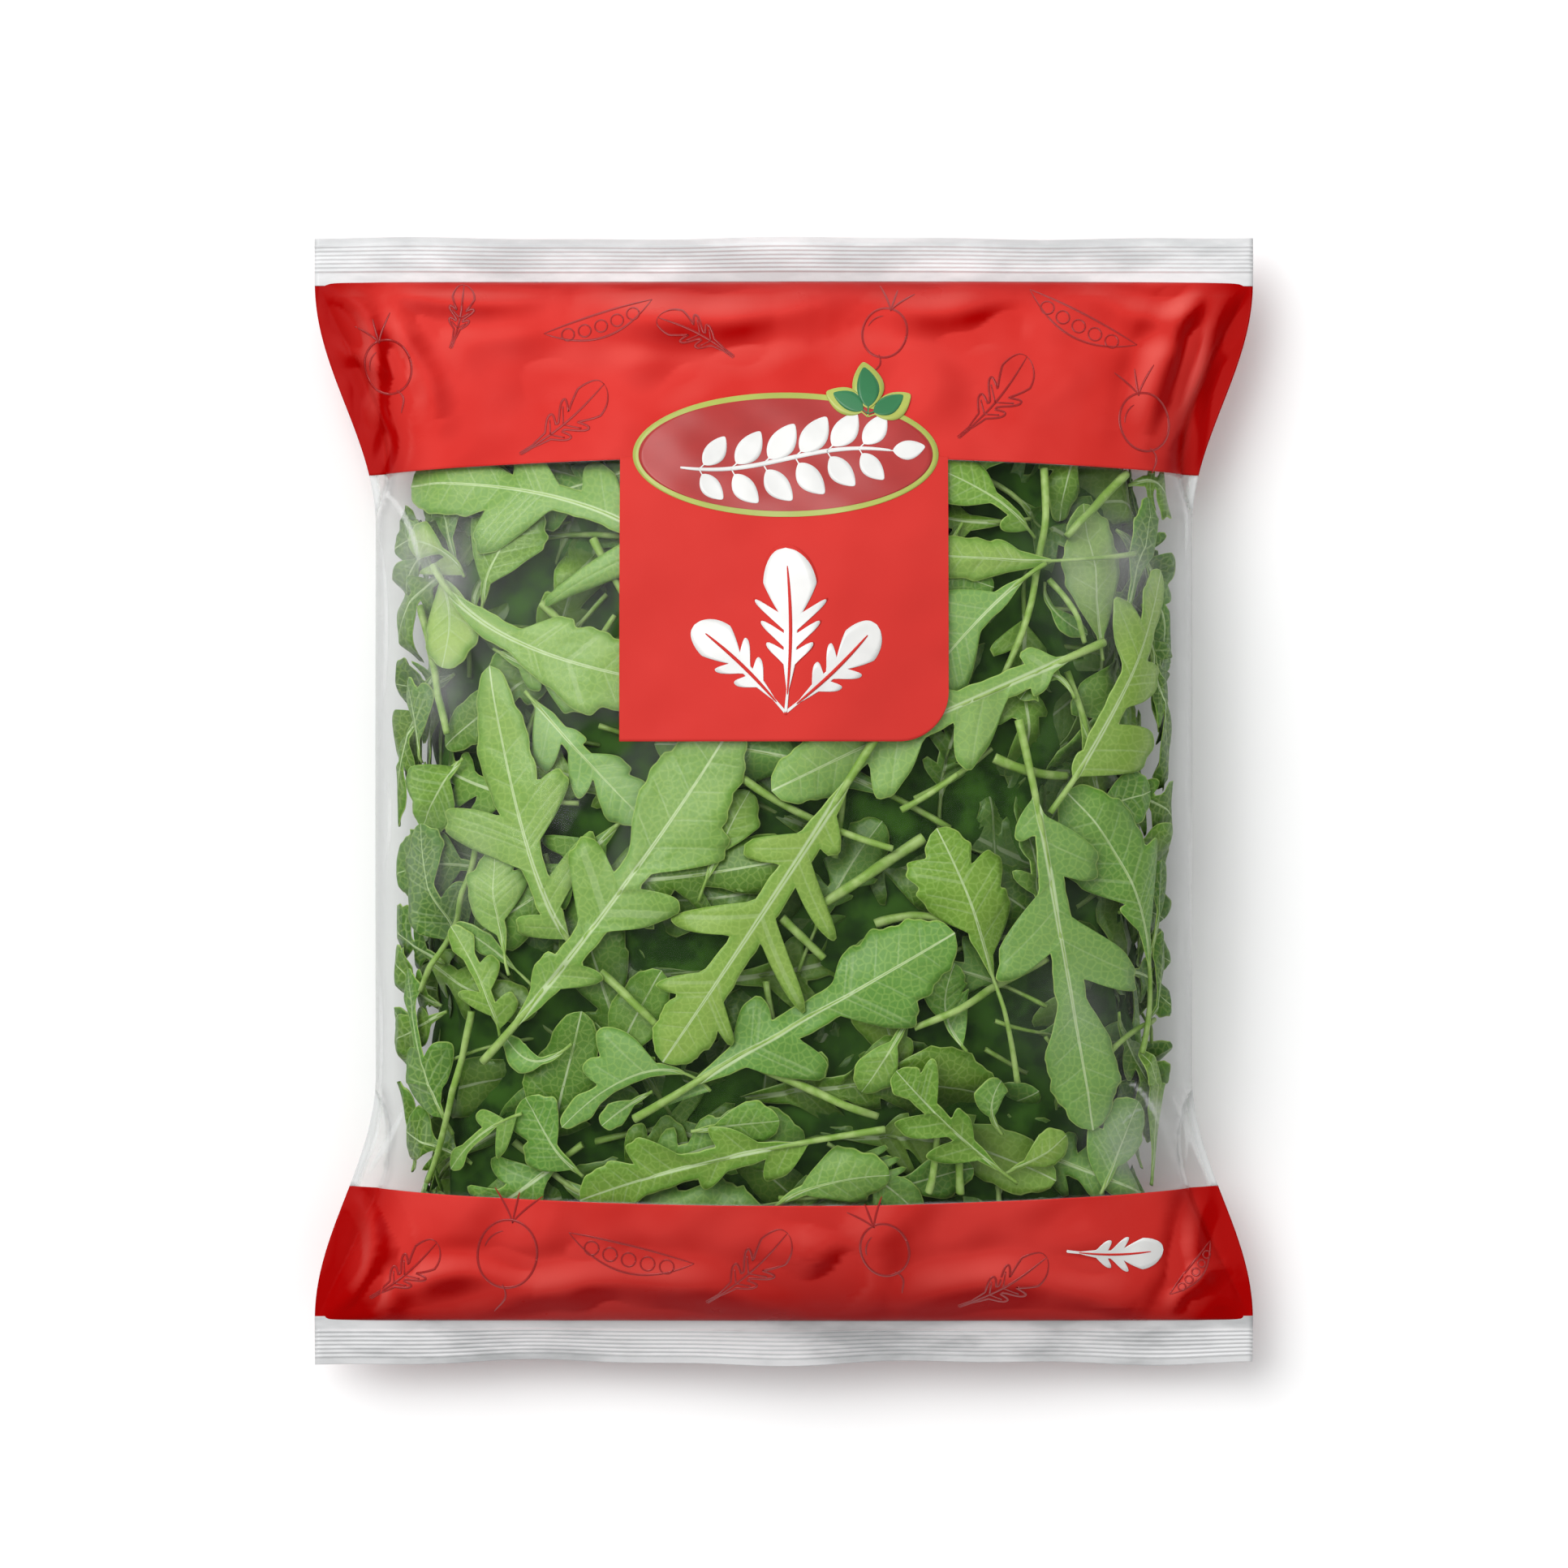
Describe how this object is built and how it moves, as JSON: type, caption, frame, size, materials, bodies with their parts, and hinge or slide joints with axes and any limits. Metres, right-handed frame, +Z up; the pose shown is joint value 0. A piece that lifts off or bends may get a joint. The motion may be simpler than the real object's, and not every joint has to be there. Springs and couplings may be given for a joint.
{
  "type": "bag of salad leaves",
  "caption": "Plump pillow bag of rocket salad leaves lying on its back, clear film with red printed ends, a red label panel and crimped end seals.",
  "frame": {"origin": "middle of the flat underside that the bag rests on", "axes": "+Z up through the printed front, +Y along the bag to the head seal, +X across it to the right of the front"},
  "size_m": [0.25, 0.3, 0.0746],
  "materials": {
    "film_over_leaves": "clear film over green leaves",
    "clear_film": "clear, glossy and thin",
    "red_print": "glossy red print",
    "white_seal": "satin white, crimped",
    "leaf_green": "soft leaf surface",
    "leaf_stalk": "smooth pale stalk"
  },
  "bodies": {
    "root": {"salad_bag": "film_over_leaves"}
  },
  "joints": []
}
